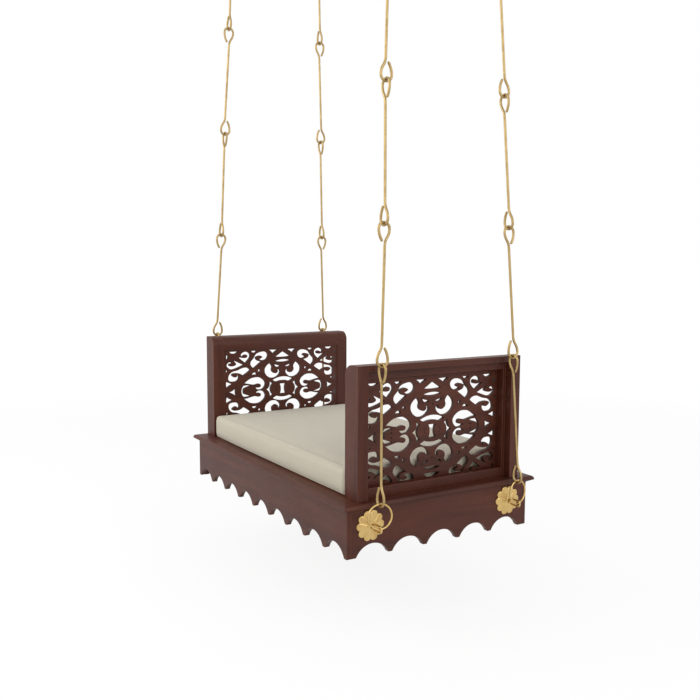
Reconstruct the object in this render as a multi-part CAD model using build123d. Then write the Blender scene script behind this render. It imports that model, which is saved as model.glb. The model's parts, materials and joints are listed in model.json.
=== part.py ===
from build123d import *
import os
from math import asin, atan, degrees, radians, sin, sqrt

# Jhoola: a carved wooden swing seat that hangs from four ceiling hooks on brass rod-link chains.
# All sizes are in millimetres. The origin is the centre of the ceiling plane, between the four
# ceiling studs, and +Z points up, so the whole swing lies below Z = 0 and only the studs above it.
# +X is the right-hand end of the seat, -Y is its front.

# ---------------------------------------------------------------- driving dimensions
# Seat box: four scalloped apron boards.
SEAT_LENGTH = 1352          # outer length of the apron box, along X
SEAT_DEPTH = 800            # outer depth of the apron box, along Y
APRON_THICK = 20
APRON_HEIGHT = 166          # from the tips of the teeth to the ledge
ARCH_RISE = 42              # height of one scallop arch
TOOTH = 16                  # width of a tooth between two arches
CORNER_TOOTH = 18           # width of the tooth at each end of a board
FRONT_ARCH_COUNT = 9
END_ARCH_COUNT = 5

# Moulded ledge on top of the aprons, and the deck panel inside it.
LEDGE_THICK = 24
LEDGE_OVERHANG = 22
LEDGE_INNER = 100           # how far each moulding reaches in from the apron's outer face
NOSE_RADIUS = 12            # round upper half of the ledge's nose
NOSE_UNDER = 5              # smaller radius under the nose
COVE_RADIUS = 4             # hollow moulding where the ledge meets the apron

# Bearers and blocks under the deck.
BEARER_WIDTH = 45
BEARER_HEIGHT = 40
END_BEARER_HEIGHT = 86
MIDDLE_BEARERS = 3
CORNER_BLOCK = 45
CORNER_BLOCK_HEIGHT = 100

# End panels: two posts, two rails and a pierced board (jaali).
PANEL_THICK = 83
PANEL_INSET = 42            # from the apron's front face to a panel, along Y
PANEL_HEIGHT = 464
POST_WIDTH = 53
POST_REBATE_WIDTH = 11      # step in the inner edge of a post, on its outer side
POST_REBATE_DEPTH = 34
TOP_ROUND = 40              # round inner edge along the top of a panel
LIP_THICK = 22              # lip of the top rail over the recess
TOP_RAIL_DROP = 52          # outer part of the top rail, down from the top
TOP_RAIL_INNER_DROP = 64    # inner part of the top rail, down from the top
BOTTOM_RAIL_HEIGHT = 34
BOTTOM_RAIL_THICK = 32
JAALI_THICK = 13
JAALI_SETBACK = 4           # from the panel's inner face to the pierced board
JAALI_TONGUE = 6            # how far the board runs into its grooves
JAALI_RISE = 1.5            # pattern's centre above the middle of the open height
TENON_LENGTH = 20
TENON_THICK = 14
TENON_SHOULDER = 6          # step above and below a bottom rail's tenon
TOP_TENON_SHOULDER = 4      # step between the lip and a top rail's tenon
TOP_TENON_FOOT = 8          # step below it
PANEL_BOLT_RADIUS = 4
PANEL_BOLT_IN_POST = 60
BOLT_HEAD_RADIUS = 7.5
BOLT_HEAD_THICK = 5.5

# Brass eye bolts, rosettes and rings on the end aprons.
EYE_DROP = 59               # bolt axis below the ledge
EYE_INSET = 94              # from the apron's front face to a bolt, along Y
EYE_REACH = 61              # from the apron's face to the place where the ring hangs
EYE_WIRE = 3.25             # radius of the wire of the eye
EYE_LOOP = 10               # radius of the loop's centre line
BOLT_RADIUS = 5
BOLT_PAST_NUT = 4           # thread that stands out of the nut
NUT_FLATS = 17
NUT_THICK = 8
WASHER_RADIUS = 14
WASHER_THICK = 2
ROSETTE_PETALS = 10
ROSETTE_DISC = 46
PETAL_RADIUS = 15
PETAL_CENTRE = 41
ROSETTE_RIM = 4
ROSETTE_CROWN = 12
BOSS_RADIUS = 11
BOSS_HEIGHT = 15
RING_WIRE = 3.25
RING_RADIUS = 42.5          # of the ring's centre line
RING_TWIST = 9.5            # degrees that each ring hangs turned about its chain

# Chains: five rod links on each, with an open hook at both ends of a link.
LINKS = 5
LINK_WIRE = 4.75
LINK_REACH = 477            # between the outermost centre-line points of a link's two hooks
HOOK_RADIUS = 21            # of the hook's bend, on the centre line
HOOK_NECK = 78              # from the end of the link to where the rod is straight
TIP_RADIUS = 70             # of the tip side of the hook
TIP_HEIGHT = 60

# Ceiling hooks.
HOOK_SPREAD_X = 1268        # stud spacing along X
HOOK_SPREAD_Y = 440         # stud spacing along Y
HOOK_DROP = 89              # from the ceiling to the bearing bend's centre line
HOOK_WIRE = 5
PLATE_RADIUS = 30
PLATE_THICK = 4
STUD_RADIUS = 6
STUD_LENGTH = 60

# Seat cushion.
CUSHION_HEIGHT = 100
CUSHION_EDGE = 18
CUSHION_END_GAP = 3         # to the end panels
CUSHION_INSET = 42          # from the apron's front face to the cushion, along Y

# Clearances.
RUN_GAP = 0.3               # between links, and where the cushion lies on the deck
RING_GAP = 0.9              # between ring and eye, room for the seat's small roll
BOLT_CLEARANCE = 0.5        # round a bolt in its hole
NECK_GAP = 1                # between the rosette's boss and the loop of the eye

# ---------------------------------------------------------------- derived places
HALF_LENGTH = SEAT_LENGTH / 2
HALF_DEPTH = SEAT_DEPTH / 2
DECK_TOP = APRON_HEIGHT + LEDGE_THICK
PANEL_DEPTH = SEAT_DEPTH - 2 * PANEL_INSET
EYE_SPREAD = SEAT_DEPTH - 2 * EYE_INSET     # distance between the two bolts of one end
EYE_HEIGHT = APRON_HEIGHT - EYE_DROP        # bolt axis above the tips of the teeth
CUSHION_DEPTH = SEAT_DEPTH - 2 * CUSHION_INSET
PANEL_INNER = HALF_LENGTH - PANEL_THICK
PANEL_HALF = PANEL_DEPTH / 2
POST_INNER = PANEL_HALF - POST_WIDTH
RECESS_X = HALF_LENGTH - POST_REBATE_DEPTH
PANEL_TOP = DECK_TOP + PANEL_HEIGHT
JAALI_OPEN = PANEL_HEIGHT - TOP_RAIL_INNER_DROP     # visible height of the pierced board
JAALI_CENTRE = JAALI_OPEN / 2 + JAALI_RISE          # pattern's centre above the ledge
JAALI_X = PANEL_INNER + JAALI_SETBACK
JAALI_BACK = JAALI_X + JAALI_THICK
END_BEARER_X = HALF_LENGTH - APRON_THICK - BEARER_WIDTH
APRON_INNER_Y = HALF_DEPTH - APRON_THICK
BOLT_X = END_BEARER_X + BEARER_WIDTH / 2
POST_Y = PANEL_HALF - POST_WIDTH / 2

EYE_X = HALF_LENGTH + EYE_REACH
EYE_Y = EYE_SPREAD / 2
EYE_BAR = EYE_HEIGHT + EYE_LOOP             # height of the bar that bears on the ring
EYE_NECK = BOSS_HEIGHT + NECK_GAP + EYE_WIRE + EYE_LOOP     # centre of the loop's inner bend
LINK_PITCH = LINK_REACH - 2 * LINK_WIRE - RUN_GAP
RING_SPAN = 2 * RING_RADIUS - (2 * RING_WIRE + EYE_WIRE + LINK_WIRE + RING_GAP + RUN_GAP)
CHAIN_SPAN = RING_SPAN + LINK_PITCH * (LINKS - 1) + LINK_REACH
CHAIN_TOP = -HOOK_DROP + HOOK_WIRE + LINK_WIRE + RUN_GAP
LEAN_X = EYE_X - HOOK_SPREAD_X / 2
LEAN_Y = EYE_Y - HOOK_SPREAD_Y / 2
CHAIN_FALL = sqrt(CHAIN_SPAN ** 2 - LEAN_X ** 2 - LEAN_Y ** 2)
SEAT_Z = CHAIN_TOP - CHAIN_FALL - EYE_BAR   # the tips of the teeth

DIAGONAL = sqrt(0.5)        # how far the middle of a quarter arc lies out along each axis

SIDES = {"left": -1, "right": 1}
ROWS = {"front": -1, "rear": 1}
CORNERS = [(row, side) for row in ROWS for side in SIDES]

os.makedirs("parts", exist_ok=True)
nodes = {}


def keep(name, shape):
    """Store a piece that is already in the ceiling frame."""
    shape.label = name
    nodes[name] = shape


def keep_on_seat(name, shape):
    """Store a piece that is modelled above the tips of the apron's teeth."""
    keep(name, Pos(0, 0, SEAT_Z) * shape)


def block(x0, x1, y0, y1, z0, z1):
    """Box between two corners, whatever their order."""
    size = (abs(x1 - x0), abs(y1 - y0), abs(z1 - z0))
    return Pos((x0 + x1) / 2, (y0 + y1) / 2, (z0 + z1) / 2) * Box(*size)


def outline(*strokes):
    """Face inside strokes of 2 points (line), 3 points (arc) or more (smooth curve)."""
    edges = []
    for stroke in strokes:
        if len(stroke) == 2:
            edges.append(Line(*stroke))
        elif len(stroke) == 3:
            edges.append(ThreePointArc(*stroke))
        else:
            edges.append(Spline(*stroke))
    return make_face(edges)


def rod(radius, start, end):
    """Cylinder between two points."""
    start = Vector(*start)
    axis = Vector(*end) - start
    return extrude(Plane(origin=start, z_dir=axis) * Circle(radius), axis.length)


def group(pieces):
    """Separate solids that share one node."""
    return Compound(children=[piece.solid() for piece in pieces])


# ---------------------------------------------------------------- apron boards
def scalloped(length, arches):
    """Board in the XZ plane, centred on X = 0, with a row of round arches along its foot."""
    chord = (length - 2 * CORNER_TOOTH - (arches - 1) * TOOTH) / arches
    foot = []
    x = -length / 2
    tooth = CORNER_TOOTH
    for _ in range(arches):
        foot.append([(x, 0), (x + tooth, 0)])
        x += tooth
        foot.append([(x, 0), (x + chord / 2, ARCH_RISE), (x + chord, 0)])
        x += chord
        tooth = TOOTH
    foot.append([(x, 0), (length / 2, 0)])
    foot.append([(length / 2, 0), (length / 2, APRON_HEIGHT)])
    foot.append([(length / 2, APRON_HEIGHT), (-length / 2, APRON_HEIGHT)])
    foot.append([(-length / 2, APRON_HEIGHT), (-length / 2, 0)])
    return extrude(Plane.XZ * outline(*foot), APRON_THICK / 2, both=True)


long_board = scalloped(SEAT_LENGTH, FRONT_ARCH_COUNT)
end_board = Rot(0, 0, 90) * scalloped(SEAT_DEPTH - 2 * APRON_THICK, END_ARCH_COUNT)
for row, sy in ROWS.items():
    keep_on_seat(f"apron_{row}", Pos(0, sy * (HALF_DEPTH - APRON_THICK / 2), 0) * long_board)
for side, sx in SIDES.items():
    board = Pos(sx * (HALF_LENGTH - APRON_THICK / 2), 0, 0) * end_board
    for sy in ROWS.values():
        board -= rod(BOLT_RADIUS + BOLT_CLEARANCE,
                     (sx * END_BEARER_X, sy * EYE_Y, EYE_HEIGHT),
                     (sx * (HALF_LENGTH + APRON_THICK), sy * EYE_Y, EYE_HEIGHT))
    keep_on_seat(f"apron_{side}", board)


# ---------------------------------------------------------------- ledge and deck
def ledge_section():
    """Moulding section: first axis outwards from the apron's face, second axis up."""
    base = APRON_HEIGHT
    under = base + (LEDGE_THICK - NOSE_RADIUS) - NOSE_UNDER
    nose = base + LEDGE_THICK - NOSE_RADIUS
    out = LEDGE_OVERHANG
    near = 1 - DIAGONAL
    nose_mid = (out - NOSE_RADIUS * near, nose + NOSE_RADIUS * DIAGONAL)
    under_mid = (out - NOSE_UNDER * near, nose - NOSE_UNDER * DIAGONAL)
    cove_mid = (COVE_RADIUS * near, base - COVE_RADIUS * near)
    return outline(
        [(-LEDGE_INNER, base), (0, base)],
        [(0, base), (0, base - COVE_RADIUS)],
        [(0, base - COVE_RADIUS), cove_mid, (COVE_RADIUS, base)],
        [(COVE_RADIUS, base), (out - NOSE_UNDER, under)],
        [(out - NOSE_UNDER, under), under_mid, (out, nose)],
        [(out, nose), nose_mid, (out - NOSE_RADIUS, DECK_TOP)],
        [(out - NOSE_RADIUS, DECK_TOP), (-LEDGE_INNER, DECK_TOP)],
        [(-LEDGE_INNER, DECK_TOP), (-LEDGE_INNER, base)],
    )


def moulding(face, length):
    """Mitred moulding along X whose apron face lies at Y = face, nose towards +Y."""
    section = Plane(origin=(0, face, 0), x_dir=(0, 1, 0), z_dir=(1, 0, 0)) * ledge_section()
    bar = extrude(section, length, both=True)
    half = length / 2 + LEDGE_OVERHANG
    inner = length / 2 - LEDGE_INNER
    plan = Polyline((-half, face + LEDGE_OVERHANG), (half, face + LEDGE_OVERHANG),
                    (inner, face - LEDGE_INNER), (-inner, face - LEDGE_INNER), close=True)
    return bar & extrude(make_face(plan), 2 * DECK_TOP)


def panel_bolt_hole(sx, sy):
    return rod(PANEL_BOLT_RADIUS + BOLT_CLEARANCE,
               (sx * BOLT_X, sy * POST_Y, APRON_HEIGHT - END_BEARER_HEIGHT),
               (sx * BOLT_X, sy * POST_Y, DECK_TOP + PANEL_BOLT_IN_POST))


front_to_back = moulding(HALF_DEPTH, SEAT_LENGTH)
end_to_end = Rot(0, 0, -90) * moulding(HALF_LENGTH, SEAT_DEPTH)
keep_on_seat("ledge_rear", front_to_back)
keep_on_seat("ledge_front", Rot(0, 0, 180) * front_to_back)
for side, sx in SIDES.items():
    ledge = end_to_end if sx > 0 else Rot(0, 0, 180) * end_to_end
    for sy in ROWS.values():
        ledge -= panel_bolt_hole(sx, sy)
    keep_on_seat(f"ledge_{side}", ledge)

deck_x = HALF_LENGTH - LEDGE_INNER
deck_y = HALF_DEPTH - LEDGE_INNER
keep_on_seat("deck_panel", block(-deck_x, deck_x, -deck_y, deck_y, APRON_HEIGHT, DECK_TOP))

# ---------------------------------------------------------------- bearers and corner blocks
for side, sx in SIDES.items():
    foot = APRON_HEIGHT - END_BEARER_HEIGHT
    bearer = block(sx * END_BEARER_X, sx * (END_BEARER_X + BEARER_WIDTH),
                   -APRON_INNER_Y, APRON_INNER_Y, foot, APRON_HEIGHT)
    for sy in ROWS.values():
        bearer -= rod(BOLT_RADIUS + BOLT_CLEARANCE,
                      (sx * (END_BEARER_X - BEARER_WIDTH), sy * EYE_Y, EYE_HEIGHT),
                      (sx * HALF_LENGTH, sy * EYE_Y, EYE_HEIGHT))
        bearer -= panel_bolt_hole(sx, sy)
    keep_on_seat(f"end_bearer_{side}", bearer)

pitch = 2 * END_BEARER_X / (MIDDLE_BEARERS + 1)
middle = [
    block(x - BEARER_WIDTH / 2, x + BEARER_WIDTH / 2, -APRON_INNER_Y, APRON_INNER_Y,
          APRON_HEIGHT - BEARER_HEIGHT, APRON_HEIGHT)
    for x in [pitch * (i + 1) - END_BEARER_X for i in range(MIDDLE_BEARERS)]
]
keep_on_seat("middle_bearers", group(middle))
blocks = [
    block(sx * END_BEARER_X, sx * (END_BEARER_X - CORNER_BLOCK),
          sy * APRON_INNER_Y, sy * (APRON_INNER_Y - CORNER_BLOCK),
          APRON_HEIGHT - CORNER_BLOCK_HEIGHT, APRON_HEIGHT)
    for sx in SIDES.values() for sy in ROWS.values()
]
keep_on_seat("corner_blocks", group(blocks))


# ---------------------------------------------------------------- end panels
def top_round():
    """What the round inner edge takes off the top of a right-hand panel."""
    x = PANEL_INNER
    z = PANEL_TOP
    reach = TOP_ROUND
    near = reach * (1 - DIAGONAL)
    corner = outline(
        [(x + reach, z), (x + near, z - near), (x, z - reach)],
        [(x, z - reach), (x - 1, z - reach)],
        [(x - 1, z - reach), (x - 1, z + 1)],
        [(x - 1, z + 1), (x + reach, z + 1)],
        [(x + reach, z + 1), (x + reach, z)],
    )
    return extrude(Plane.XZ * corner, PANEL_DEPTH, both=True)


def tenon(z0, z1):
    """Tenon block of a rail, centred on the rail's core and running into both posts."""
    x = (JAALI_BACK + RECESS_X) / 2
    reach = POST_INNER + TENON_LENGTH
    return block(x - TENON_THICK / 2, x + TENON_THICK / 2, -reach, reach, z0, z1)


top_tenon = tenon(PANEL_TOP - TOP_RAIL_DROP + TOP_TENON_FOOT,
                  PANEL_TOP - LIP_THICK - TOP_TENON_SHOULDER)
bottom_tenon = tenon(DECK_TOP + TENON_SHOULDER, DECK_TOP + BOTTOM_RAIL_HEIGHT - TENON_SHOULDER)


def jaali_blank():
    reach = POST_INNER + JAALI_TONGUE
    top = PANEL_TOP - TOP_RAIL_INNER_DROP + JAALI_TONGUE
    return block(JAALI_X, JAALI_BACK, -reach, reach, DECK_TOP, top)


def right_post(sy):
    body = block(PANEL_INNER, HALF_LENGTH, sy * POST_INNER, sy * PANEL_HALF, DECK_TOP, PANEL_TOP)
    body -= block(RECESS_X, HALF_LENGTH, sy * POST_INNER, sy * (POST_INNER + POST_REBATE_WIDTH),
                  DECK_TOP, PANEL_TOP)
    body -= top_round()
    body -= top_tenon
    body -= bottom_tenon
    body -= jaali_blank()
    return body - panel_bolt_hole(1, sy)


def right_top_rail():
    z = PANEL_TOP
    section = Polyline((PANEL_INNER, z), (HALF_LENGTH, z), (HALF_LENGTH, z - LIP_THICK),
                       (RECESS_X, z - LIP_THICK), (RECESS_X, z - TOP_RAIL_DROP),
                       (JAALI_BACK, z - TOP_RAIL_DROP), (JAALI_BACK, z - TOP_RAIL_INNER_DROP),
                       (PANEL_INNER, z - TOP_RAIL_INNER_DROP), close=True)
    rail = extrude(Plane.XZ * make_face(section), POST_INNER, both=True)
    lip = POST_INNER + POST_REBATE_WIDTH
    rail += block(RECESS_X, HALF_LENGTH, -lip, lip, z - LIP_THICK, z)
    rail += top_tenon
    return rail - top_round() - jaali_blank()


def right_bottom_rail():
    rail = block(JAALI_BACK, JAALI_BACK + BOTTOM_RAIL_THICK, -POST_INNER, POST_INNER,
                 DECK_TOP, DECK_TOP + BOTTOM_RAIL_HEIGHT)
    return rail + bottom_tenon


# ---------------------------------------------------------------- pierced scroll pattern
# Outlines of the openings, drawn for a panel that is open over PATTERN_GRID on each side of
# the pattern's centre. First number: distance from the panel's centre line. Second number:
# height above the pattern's centre.
PATTERN_GRID = (305, 200)
FOUR_FOLD = [
    # slots along the top edge
    [[(276.7, 190.7), (234.4, 190.7)], [(234.4, 190.7), (256, 181), (276.7, 190.7)]],
    [[(164.8, 189.6), (137.6, 189.6)], [(137.6, 189.6), (152.8, 181), (164.8, 189.6)]],
    [[(72.4, 190.7), (25.7, 189.6)], [(25.7, 189.6), (40, 182), (51.7, 171.2)],
     [(51.7, 171.2), (60, 182), (72.4, 190.7)]],
    # lens-shaped slots along the side edge
    [[(288.5, 153), (293.5, 166.2), (288.5, 179.5)],
     [(288.5, 179.5), (283.5, 166.2), (288.5, 153)]],
    [[(290.5, 94), (294.5, 100.3), (290.5, 106.5)], [(290.5, 106.5), (286, 100.3), (290.5, 94)]],
    [[(294, 50.5), (263, 37)], [(263, 37), (279, 31), (291, 20)],
     [(291, 20), (295, 35), (294, 50.5)]],
    # scroll in the upper corner
    [[(230, 161.4), (195.2, 134.2)],
     [(195.2, 134.2), (183, 148), (172.4, 165.7), (174.6, 176.6), (183, 184), (196.3, 187.5),
      (209, 184), (218, 175.5), (217.5, 168.5)],
     [(217.5, 168.5), (212.5, 164)],
     [(212.5, 164), (206.5, 170.5), (199, 174), (190, 173.5), (185.4, 167.9), (187.6, 161.4),
      (196.3, 158), (209, 158.5), (230, 161.4)]],
    # scroll at the side, above the middle
    [[(255, 149.4), (206, 125.5)],
     [(206, 125.5), (229, 117), (250.7, 110), (268, 108), (283, 115.7), (290.9, 126.6),
      (286.5, 137.5), (276.7, 141.8), (267, 140.7)],
     [(267, 140.7), (265.9, 135.3)],
     [(265.9, 135.3), (272.4, 135.3), (280, 131), (277.8, 125.5), (265.9, 122.2),
      (250.7, 124.4), (243, 130.9), (247.4, 139.6), (255, 149.4)]],
    # long scroll that runs round the side medallion
    [[(172.4, 99.4), (183, 109), (200.7, 112.5), (218, 109), (239.8, 100.5), (261.5, 96.2),
      (276.7, 85.3), (283.3, 70), (281, 57), (270, 50.5), (255, 49.4), (242, 51.6),
      (232, 61.4), (231, 72), (239.8, 79.8)],
     [(239.8, 79.8), (242, 70), (250.7, 69), (260, 73.5), (266, 82), (259, 87.5),
      (246, 89), (231, 87.5), (209.3, 75.5)],
     [(209.3, 75.5), (192, 85), (172.4, 99.4)]],
    # scroll beside the peak
    [[(153.9, 107), (165.9, 118), (170.2, 128.8), (165.9, 141.8), (155, 152.7),
      (148.5, 163.5), (139.8, 174.4), (124.6, 180.9), (105, 184.2), (89.8, 180.9),
      (80, 170), (81, 157), (87.6, 148.3), (100.7, 142.9), (113.7, 144), (123.5, 149.4)],
     [(123.5, 149.4), (115, 152), (107, 158)],
     [(107, 158), (120.2, 165.7), (133.3, 163.5), (143, 157), (142, 150.5), (135.4, 142.9),
      (124.6, 138.5), (113.7, 136.4)],
     [(113.7, 136.4), (153.9, 107)]],
    # small leaves and triangles
    [[(44, 119.5), (30, 115), (14, 110.5)], [(14, 110.5), (28, 106), (39, 110)],
     [(39, 110), (42, 114), (44, 119.5)]],
    [[(118.5, 94.5), (124.5, 100.5), (130.5, 94.5)], [(130.5, 94.5), (124.5, 88.5), (118.5, 94.5)]],
    [[(163, 76), (137.6, 76)], [(137.6, 76), (141, 82.5), (149, 86)],
     [(149, 86), (158, 83), (163, 76)]],
    # small drilled eye of the side medallion
    [[(174, 9), (177, 12), (180, 9)], [(180, 9), (177, 6), (174, 9)]],
    # crescent of the upper medallion
    [[(69, 126.6), (85.4, 115.7), (95.2, 100.5), (96.3, 89.6), (90.9, 74.4), (78.9, 62.5),
      (63.7, 55.9), (48.5, 54.8), (33.3, 59.2), (20.2, 70), (14.8, 83.1), (18, 90.7),
      (28.9, 92.9)],
     [(28.9, 92.9), (26.5, 83.5), (37.6, 75.5), (50.7, 79.5), (58.3, 87.5), (59, 98.3),
      (57, 106), (60.5, 115.5), (69, 126.6)]],
    # crescent of the side medallion
    [[(202.8, 36.4), (187.6, 48.3), (170.2, 58.1), (148.5, 62.5), (126.7, 61.4), (109.3, 52.7),
      (96.3, 39.6), (93, 28.8), (97.4, 15.7), (107.2, 5.9), (120.2, 2.4), (135.4, 4.8),
      (144.1, 13.5)],
     [(144.1, 13.5), (133, 12.5), (122.4, 14), (116.5, 21.2), (120.2, 28.8), (131, 31.4),
      (148.5, 27.6), (163.7, 29.5), (183.3, 34.2), (202.8, 36.4)]],
]
# Openings on the centre line, mirrored up and down.
ABOVE_AND_BELOW = [
    [[(-38, 156), (0, 180.5)], [(0, 180.5), (38, 156)], [(38, 156), (0, 153.5), (-38, 156)]],
    [[(-39, 135), (0, 142), (39, 135)], [(39, 135), (0, 130), (-39, 135)]],
    [[(-3, 99), (0, 102), (3, 99)], [(3, 99), (0, 96), (-3, 99)]],
    [[(-54, 44), (0, 58), (54, 44)], [(54, 44), (35, 34.2)], [(35, 34.2), (0, 40), (-35, 34.2)],
     [(-35, 34.2), (-54, 44)]],
]
# Openings on the level centre line, mirrored left and right.
LEFT_AND_RIGHT = [
    [[(280.5, 0), (258, 9), (242.4, 23)], [(242.4, 23), (248, 0), (242.4, -23)],
     [(242.4, -23), (258, -9), (280.5, 0)]],
    [[(71, 39), (54, 26.6)], [(54, 26.6), (66, 0), (54, -26.6)], [(54, -26.6), (71, -39)],
     [(71, -39), (73, -14), (87.6, 0)], [(87.6, 0), (73, 14), (71, 39)]],
    [[(171, 24), (190, 27.5), (207, 26)], [(207, 26), (217.6, 0), (207, -26)],
     [(207, -26), (190, -27.5), (171, -24)], [(171, -24), (190, -19), (205, -13)],
     [(205, -13), (208, 0), (205, 13)], [(205, 13), (190, 19), (171, 24)]],
]
CENTRE = [
    [[(-16, 24), (16, 24)], [(16, 24), (10.5, 0), (16, -24)], [(16, -24), (-16, -24)],
     [(-16, -24), (-10.5, 0), (-16, 24)]],
]


def mirrored(strokes, a, b):
    """Outline turned over by the signs a and b, and fitted to the size of the panel."""
    a *= POST_INNER / PATTERN_GRID[0]
    b *= JAALI_OPEN / 2 / PATTERN_GRID[1]
    return [[(a * u, b * v) for u, v in stroke] for stroke in strokes]


def right_jaali():
    """Pierced board of the right-hand panel."""
    plane = Plane(origin=(JAALI_X, 0, DECK_TOP + JAALI_CENTRE), x_dir=(0, 1, 0), z_dir=(1, 0, 0))
    openings = [outline(*mirrored(s, 1, 1)) for s in CENTRE]
    openings += [outline(*mirrored(s, 1, b)) for s in ABOVE_AND_BELOW for b in (1, -1)]
    openings += [outline(*mirrored(s, a, 1)) for s in LEFT_AND_RIGHT for a in (1, -1)]
    openings += [outline(*mirrored(s, a, b)) for s in FOUR_FOLD for a in (1, -1) for b in (1, -1)]
    return jaali_blank() - extrude(plane * (Sketch() + openings), JAALI_THICK)


pieces = {
    "post_front": right_post(-1),
    "post_rear": right_post(1),
    "top_rail": right_top_rail(),
    "bottom_rail": right_bottom_rail(),
    "jaali": right_jaali(),
}
for name, piece in pieces.items():
    keep_on_seat(f"{name}_right", piece)
    keep_on_seat(f"{name}_left", mirror(piece, about=Plane.YZ))

bolts = []
for sx in SIDES.values():
    for sy in ROWS.values():
        foot = APRON_HEIGHT - END_BEARER_HEIGHT
        spot = (sx * BOLT_X, sy * POST_Y)
        shank = rod(PANEL_BOLT_RADIUS, (*spot, foot - 1), (*spot, DECK_TOP + PANEL_BOLT_IN_POST))
        head = extrude(Pos(*spot, foot) * RegularPolygon(BOLT_HEAD_RADIUS, 6), -BOLT_HEAD_THICK)
        bolts.append(shank + head)
keep_on_seat("panel_bolts", group(bolts))


# ---------------------------------------------------------------- brass on the end aprons
def right_rosette():
    """Domed flower plate, its axis along +X, its back at X = 0."""
    flower = Circle(ROSETTE_DISC) + PolarLocations(PETAL_CENTRE, ROSETTE_PETALS) * Circle(PETAL_RADIUS)
    plate = extrude(Plane.YZ * flower, ROSETTE_CROWN)
    rim = PETAL_CENTRE + PETAL_RADIUS
    rise = ROSETTE_CROWN - ROSETTE_RIM
    dome = (rim ** 2 + rise ** 2) / (2 * rise)
    plate = plate & (Pos(ROSETTE_CROWN - dome, 0, 0) * Sphere(dome))
    plate += rod(BOSS_RADIUS, (ROSETTE_RIM, 0, 0), (BOSS_HEIGHT, 0, 0))
    return plate - rod(BOLT_RADIUS + BOLT_CLEARANCE, (-1, 0, 0), (BOSS_HEIGHT + 1, 0, 0))


def right_eye_bolt():
    """Eye bolt with its shank along +X and the apron's face at X = 0."""
    inner = EYE_NECK
    outer = EYE_REACH
    path = Wire([
        Line((inner, EYE_LOOP), (outer, EYE_LOOP)),
        ThreePointArc((outer, EYE_LOOP), (outer + EYE_LOOP, 0), (outer, -EYE_LOOP)),
        Line((outer, -EYE_LOOP), (inner, -EYE_LOOP)),
        ThreePointArc((inner, -EYE_LOOP), (inner - EYE_LOOP, 0), (inner, EYE_LOOP)),
    ])
    section = Plane(origin=(outer, EYE_LOOP, 0), z_dir=(1, 0, 0)) * Circle(EYE_WIRE)
    loop = Plane.XZ * sweep(section, path=path)
    inside = -(APRON_THICK + BEARER_WIDTH + WASHER_THICK + NUT_THICK + BOLT_PAST_NUT)
    return loop + rod(BOLT_RADIUS, (inside, 0, 0), (inner - EYE_LOOP, 0, 0))


def right_nut():
    """Washer and nut as two solids, for a shank along +X with the apron's face at X = 0."""
    seat = -(APRON_THICK + BEARER_WIDTH)
    washer = rod(WASHER_RADIUS, (seat, 0, 0), (seat - WASHER_THICK, 0, 0))
    plane = Plane(origin=(seat - WASHER_THICK, 0, 0), z_dir=(-1, 0, 0))
    nut = extrude(plane * RegularPolygon(NUT_FLATS / 2, 6, major_radius=False), NUT_THICK)
    hole = rod(BOLT_RADIUS + BOLT_CLEARANCE, (0, 0, 0), (2 * seat, 0, 0))
    bore = rod(BOLT_RADIUS, (0, 0, 0), (2 * seat, 0, 0))
    return [washer - hole, nut - bore]


rosette = right_rosette()
eye_bolt = right_eye_bolt()
nuts = []
for row, side in CORNERS:
    turn = Rot(0, 0, 0 if side == "right" else 180)
    spot = Pos(SIDES[side] * HALF_LENGTH, ROWS[row] * EYE_Y, EYE_HEIGHT)
    keep_on_seat(f"rosette_{row}_{side}", spot * turn * rosette)
    keep_on_seat(f"eye_bolt_{row}_{side}", spot * turn * eye_bolt)
    nuts += [spot * turn * piece for piece in right_nut()]
keep_on_seat("eye_nuts_and_washers", group(nuts))


# ---------------------------------------------------------------- chains
def hook_edges(height):
    """Right half-plane hook at the foot of a rod: tip at +X, rod bending in from -X, up to height."""
    r = HOOK_RADIUS
    tip = degrees(asin((TIP_HEIGHT - r) / TIP_RADIUS))
    rise = HOOK_NECK - r
    bend = 2 * degrees(atan(r / rise))
    flare = rise / (2 * sin(radians(bend)))
    return [
        CenterArc((r - TIP_RADIUS, r), TIP_RADIUS, 0, tip),
        CenterArc((0, r), r, 180, 180),
        CenterArc((flare - r, r), flare, 180 - bend, bend),
        CenterArc((-flare, HOOK_NECK), flare, -bend, bend),
        Line((0, HOOK_NECK), (0, height)),
    ]


def wire_rod(edges, radius):
    """Round wire along the joined edges, with a round tip at its open end."""
    path = Wire(edges)
    section = Plane(origin=path @ 0, z_dir=path % 0) * Circle(radius)
    return sweep(section, path=path) + Location(path @ 0) * Sphere(radius)


def link():
    """One chain link in the XY plane: its lower bend at Y = 0, its rod along +Y."""
    lower = wire_rod(hook_edges(LINK_REACH / 2), LINK_WIRE)
    upper = Pos(0, LINK_REACH, 0) * Rot(0, 0, 180) * lower
    return lower + upper


def ring():
    return Torus(RING_RADIUS, RING_WIRE)


def across(direction, axis):
    """The part of a direction that is square to an axis."""
    direction = Vector(*direction)
    return (direction - axis * direction.dot(axis)).normalized()


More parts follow.
